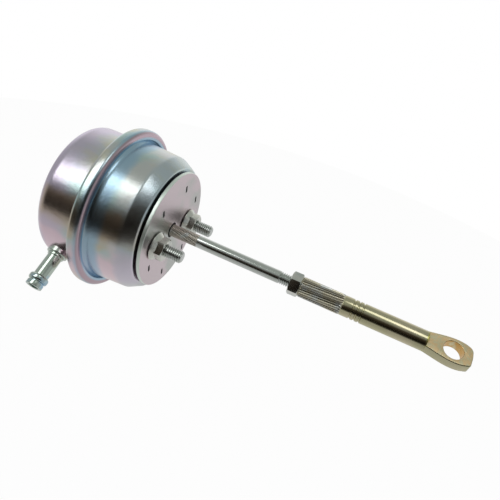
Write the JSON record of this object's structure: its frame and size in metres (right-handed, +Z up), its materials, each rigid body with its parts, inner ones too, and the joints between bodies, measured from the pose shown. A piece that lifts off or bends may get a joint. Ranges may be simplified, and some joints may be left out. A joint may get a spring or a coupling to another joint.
{
  "type": "pressure actuator",
  "caption": "Round crimped diaphragm actuator with a sprung pushrod, two mounting studs on a round plate, a hose barb and an adjustable flattened rod eye.",
  "frame": {"origin": "centre of the mounting plate's front face, on the pushrod's axis, 1.8 mm above the line that joins the two studs", "axes": "+X along the pushrod, out of the mounting plate towards the eye; Y is parallel to the line that joins the two studs; +Z up, on the side that the eye's flat face looks to"},
  "size_m": [0.2025, 0.0877, 0.0814],
  "materials": {
    "can_zinc": "satin clear-blue zinc plate on pressed sheet, with faint pink, blue and green tints",
    "plate_zinc": "satin pinkish zinc plate",
    "bright_zinc": "bright zinc plate",
    "nut_zinc": "plain zinc plate",
    "barb_zinc": "shiny greenish zinc plate on a turned tube",
    "yellow_chromate": "yellow chromated zinc plate",
    "pressed_steel": "plain pressed steel",
    "spring_steel": "oiled spring wire",
    "bronze": "oil-filled sintered bronze",
    "rubber": "matt fabric-backed rubber",
    "felt": "dense felt"
  },
  "bodies": {
    "housing": {"rear_can": "can_zinc", "front_can": "can_zinc", "diaphragm": "rubber", "return_spring": "spring_steel", "spring_seat": "pressed_steel", "guide_bush": "bronze", "travel_stop": "pressed_steel", "rod_wiper": "felt", "plate_spacer": "pressed_steel", "mounting_plate": "plate_zinc", "mounting_studs": "bright_zinc", "flange_nuts": "nut_zinc", "barb_boss": "barb_zinc", "hose_barb": "barb_zinc"},
    "plunger": {"piston_cup": "pressed_steel", "backing_washer": "pressed_steel", "retainer_plate": "pressed_steel", "actuator_rod": "bright_zinc"},
    "lock_nut": {"lock_nut": "nut_zinc"},
    "rod_end": {"rod_end": "yellow_chromate"}
  },
  "joints": [
    {"name": "rod_stroke", "type": "slide", "parent": "housing", "child": "plunger", "axis": [1, 0, 0], "range_m": [0, 0.012], "stiffness_N_per_m": 4000, "springref_m": -0.008, "deforming": ["return_spring", "diaphragm"]},
    {"name": "rod_end_travel", "type": "slide", "parent": "plunger", "child": "lock_nut", "axis": [1, 0, 0], "range_m": [-0.005, 0.008]},
    {"name": "rod_end_turn", "type": "hinge", "parent": "lock_nut", "child": "rod_end", "pos_m": [0.14, 0, 0], "axis": [1, 0, 0], "range_deg": [-1800.5, 2880.5]}
  ],
  "couplings": [
    {"joint": "rod_end_turn", "follows": "rod_end_travel", "rad_per_m": 6283.2}
  ]
}
